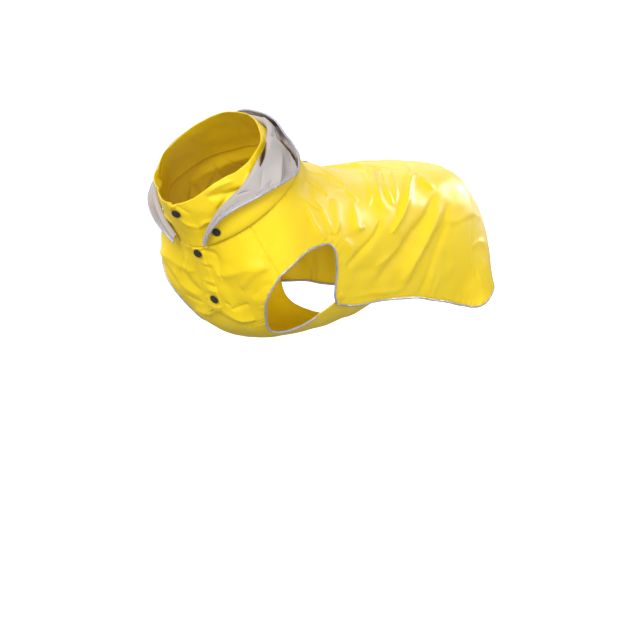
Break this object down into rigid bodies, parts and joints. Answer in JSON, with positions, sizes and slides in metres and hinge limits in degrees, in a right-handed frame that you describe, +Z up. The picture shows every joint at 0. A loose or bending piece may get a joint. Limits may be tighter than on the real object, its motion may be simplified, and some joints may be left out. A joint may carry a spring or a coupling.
{
  "type": "dog raincoat",
  "caption": "Hooded raincoat for a dog, in its worn form with nothing inside: stand collar, turned-down lined hood, snapped chest front, piped leg openings and hem, belly panel.",
  "frame": {"origin": "the withers: the inside of the back's centreline between the shoulders, where the coat rests on its wearer", "axes": "+X is the wearer's left, -Y points to the chest and neck, +Y to the tail, +Z is up"},
  "size_m": [0.2398, 0.6152, 0.3068],
  "materials": {
    "yellow_cloth": "coated, satin",
    "grey_lining": "matte woven",
    "reflective_piping": "reflective",
    "black_snap": "satin"
  },
  "bodies": {
    "root": {"back_panel": "yellow_cloth", "chest_left": "yellow_cloth", "chest_right": "yellow_cloth", "placket": "yellow_cloth", "belly_panel": "yellow_cloth", "collar": "yellow_cloth", "hood_shell": "yellow_cloth", "hood_lining": "grey_lining", "piping_hood": "reflective_piping", "piping_armhole_left": "reflective_piping", "piping_armhole_right": "reflective_piping", "piping_hem": "reflective_piping", "snap_1": "black_snap", "snap_2": "black_snap", "snap_3": "black_snap", "snap_hood_left": "black_snap", "snap_hood_right": "black_snap", "snap_back": "black_snap"}
  },
  "joints": []
}
